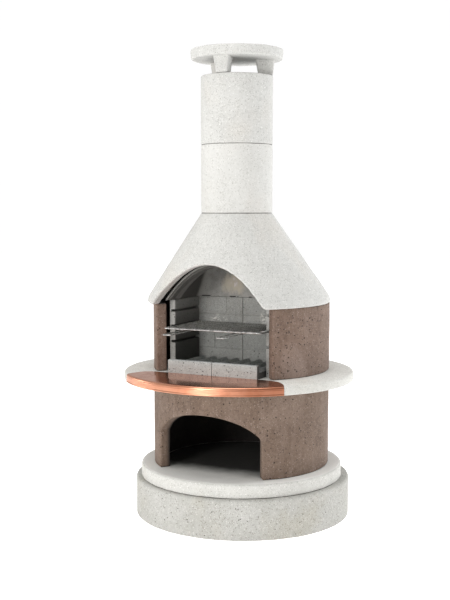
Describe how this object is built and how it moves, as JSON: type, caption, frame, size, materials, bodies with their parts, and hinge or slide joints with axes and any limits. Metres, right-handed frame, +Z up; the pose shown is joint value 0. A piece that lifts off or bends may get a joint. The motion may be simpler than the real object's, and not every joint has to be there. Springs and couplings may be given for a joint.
{
  "type": "garden barbecue fireplace",
  "caption": "Round outdoor barbecue fireplace of stacked concrete castings, with a wood store, a copper fronted worktop, an arched hood, a chimney and a sliding cooking grid.",
  "frame": {"origin": "axis of the two curved walls, on the underside of the ground casting", "axes": "+Z up, the fire mouth looks along -Y, +X to the right seen from the front"},
  "size_m": [1.1439, 1.1575, 2.29],
  "materials": {
    "washed_concrete": "washed, fine dark aggregate",
    "brown_concrete": "through coloured, pitted, faint upright streaks",
    "refractory_concrete": "cast, matt, speckled",
    "joint_adhesive": "matt, recessed",
    "copper_sheet": "polished copper sheet",
    "chromed_wire": "bright chromed steel wire"
  },
  "bodies": {
    "masonry": {"foundation_casting": "washed_concrete", "foundation_bed": "joint_adhesive", "plinth_slab": "washed_concrete", "lower_wall_bed": "joint_adhesive", "lower_wall": "brown_concrete", "worktop_bed": "joint_adhesive", "worktop": "washed_concrete", "copper_cover": "copper_sheet", "upper_wall_bed": "joint_adhesive", "upper_wall": "brown_concrete", "hood_bed": "joint_adhesive", "hood": "washed_concrete", "lower_flue_bed": "joint_adhesive", "chimney_pipe_lower": "washed_concrete", "upper_flue_bed": "joint_adhesive", "chimney_pipe_upper": "washed_concrete", "chimney_cap": "washed_concrete", "side_liner_left": "refractory_concrete", "side_liner_right": "refractory_concrete", "back_panel_left": "refractory_concrete", "back_panel_right": "refractory_concrete", "hearth_block_left": "refractory_concrete", "hearth_block_right": "refractory_concrete", "smoke_hood": "refractory_concrete"},
    "grid": {"grid_frame": "chromed_wire", "grid_cross_rods": "chromed_wire", "grid_bars": "chromed_wire", "grid_handle_left": "chromed_wire", "grid_handle_right": "chromed_wire"}
  },
  "joints": [
    {"name": "grid_slide", "type": "slide", "parent": "masonry", "child": "grid", "axis": [0, -1, 0], "range_m": [0, 0.2]}
  ]
}
